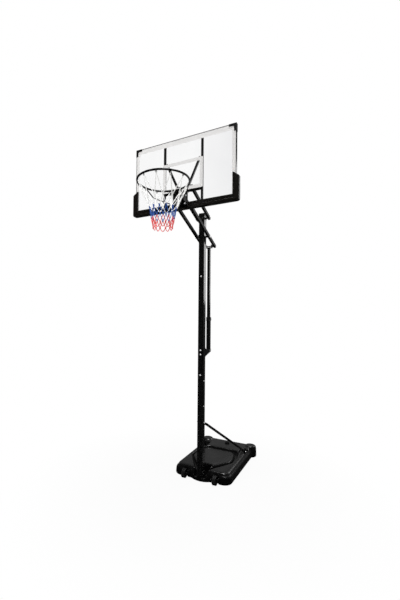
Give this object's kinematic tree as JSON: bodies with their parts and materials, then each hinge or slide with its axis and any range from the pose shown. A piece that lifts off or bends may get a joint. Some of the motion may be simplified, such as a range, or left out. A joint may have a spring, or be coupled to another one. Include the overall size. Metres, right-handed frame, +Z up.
{
  "type": "portable basketball hoop",
  "caption": "Free-standing basketball hoop: ballast tank on wheels, braced square pole, parallelogram lift arms, clear padded board and sprung rim with net.",
  "frame": {"origin": "on the floor, under the pole's centre line", "axes": "+Z up; -Y towards the court, the side the ring hangs on; +X to the right as seen from the court, facing the board"},
  "size_m": [1.178, 2.22, 3.6285],
  "materials": {
    "ballast_plastic": "charcoal blow-moulded plastic, satin",
    "moulded_plastic": "black moulded plastic",
    "seal_rubber": "black rubber",
    "black_steel": "black powder coat, half gloss",
    "ring_paint": "black powder coat, gloss",
    "zinc_steel": "bright zinc plate",
    "spring_steel": "oiled spring steel",
    "nylon": "natural nylon",
    "clear_sheet": "clear polycarbonate sheet",
    "white_print": "white printed band",
    "edge_foam": "black skinned foam",
    "net_cord": "braided polyester cord"
  },
  "bodies": {
    "stand": {"base_tank": "ballast_plastic", "fill_cap_seal": "seal_rubber", "wheel_axles": "black_steel", "wheel_axle_nuts": "black_steel", "pole_lower": "black_steel", "pole_middle": "black_steel", "pole_upper": "black_steel", "pole_top_cap": "moulded_plastic", "pole_joint_bolts": "zinc_steel", "pivot_straps": "black_steel", "pole_foot_socket": "black_steel", "pole_foot_bolt": "zinc_steel", "pole_foot_screws": "zinc_steel", "strut_left": "black_steel", "strut_right": "black_steel", "strut_top_bolt": "zinc_steel", "strut_foot_bolts": "zinc_steel", "adjuster_bracket": "black_steel", "adjuster_bracket_bolts": "zinc_steel", "adjuster_outer_tube": "black_steel", "adjuster_collar": "moulded_plastic", "adjuster_guide_bush": "nylon", "pivot_pins": "zinc_steel", "pivot_spacers": "black_steel"},
    "fill_cap": {"fill_cap": "moulded_plastic"},
    "wheel_left": {"wheel_left": "moulded_plastic"},
    "wheel_right": {"wheel_right": "moulded_plastic"},
    "clamp_knob": {"clamp_knob": "moulded_plastic"},
    "adjuster_ram": {"adjuster_inner_tube": "black_steel", "adjuster_yoke": "black_steel"},
    "lower_arms": {"lower_arm_left": "black_steel", "lower_arm_right": "black_steel", "lower_arm_bushes": "nylon", "lower_arm_plugs": "moulded_plastic", "lower_arm_tail_pin": "black_steel"},
    "upper_arms": {"upper_arm_left": "black_steel", "upper_arm_right": "black_steel", "upper_arm_bushes": "nylon", "upper_arm_plugs": "moulded_plastic"},
    "backboard": {"board_frame": "black_steel", "board_panel": "clear_sheet", "border_stripe": "white_print", "target_stripe": "white_print", "corner_caps": "moulded_plastic", "rear_frame": "black_steel", "v_braces": "black_steel", "board_pivot_bolts": "zinc_steel", "board_screws": "zinc_steel", "board_pad": "edge_foam", "rim_bracket": "black_steel", "rim_backing_box": "black_steel", "rim_bolts": "zinc_steel", "rim_hinge_pin": "zinc_steel", "spring_guide_bolt": "zinc_steel", "rim_spring": "spring_steel"},
    "rim": {"rim_nose": "black_steel", "ring": "ring_paint", "rim_brace": "black_steel", "net_hooks": "zinc_steel", "net": "net_cord"}
  },
  "joints": [
    {"name": "board_height", "type": "hinge", "parent": "stand", "child": "lower_arms", "pos_m": [0, 0.018, 2.744], "axis": [1, 0, 0], "range_deg": [0, 48]},
    {"name": "board_level", "type": "hinge", "parent": "lower_arms", "child": "backboard", "pos_m": [0, -0.45186, 2.92908], "axis": [1, 0, 0], "range_deg": [-48, 0]},
    {"name": "upper_arm_swing", "type": "hinge", "parent": "stand", "child": "upper_arms", "pos_m": [0, 0.018, 2.957], "axis": [1, 0, 0], "range_deg": [0, 48]},
    {"name": "adjuster_slide", "type": "slide", "parent": "stand", "child": "adjuster_ram", "axis": [0, 0, 1], "range_m": [0, 0.1602]},
    {"name": "rim_breakaway", "type": "hinge", "parent": "backboard", "child": "rim", "pos_m": [0, -0.556, 3.022], "axis": [1, 0, 0], "range_deg": [0, 15], "stiffness_Nm_per_rad": 260, "springref_deg": -9.74, "deforming": ["rim_spring"]},
    {"name": "wheel_left_spin", "type": "hinge", "parent": "stand", "child": "wheel_left", "pos_m": [-0.184, -0.038, 0.052], "axis": [1, 0, 0], "continuous": true},
    {"name": "wheel_right_spin", "type": "hinge", "parent": "stand", "child": "wheel_right", "pos_m": [0.184, -0.038, 0.052], "axis": [1, 0, 0], "continuous": true},
    {"name": "clamp_knob_turn", "type": "hinge", "parent": "stand", "child": "clamp_knob", "pos_m": [0, 0.24, 1.806], "axis": [0, 1, 0], "continuous": true},
    {"name": "fill_cap_turn", "type": "hinge", "parent": "stand", "child": "fill_cap", "pos_m": [0, 0.905, 0.13], "axis": [0, 0, 1], "continuous": true}
  ],
  "couplings": [
    {"joint": "board_level", "follows": "board_height", "ratio": -1},
    {"joint": "upper_arm_swing", "follows": "board_height", "ratio": 1},
    {"joint": "adjuster_slide", "follows": "board_height", "m_per_rad": 0.1892}
  ]
}
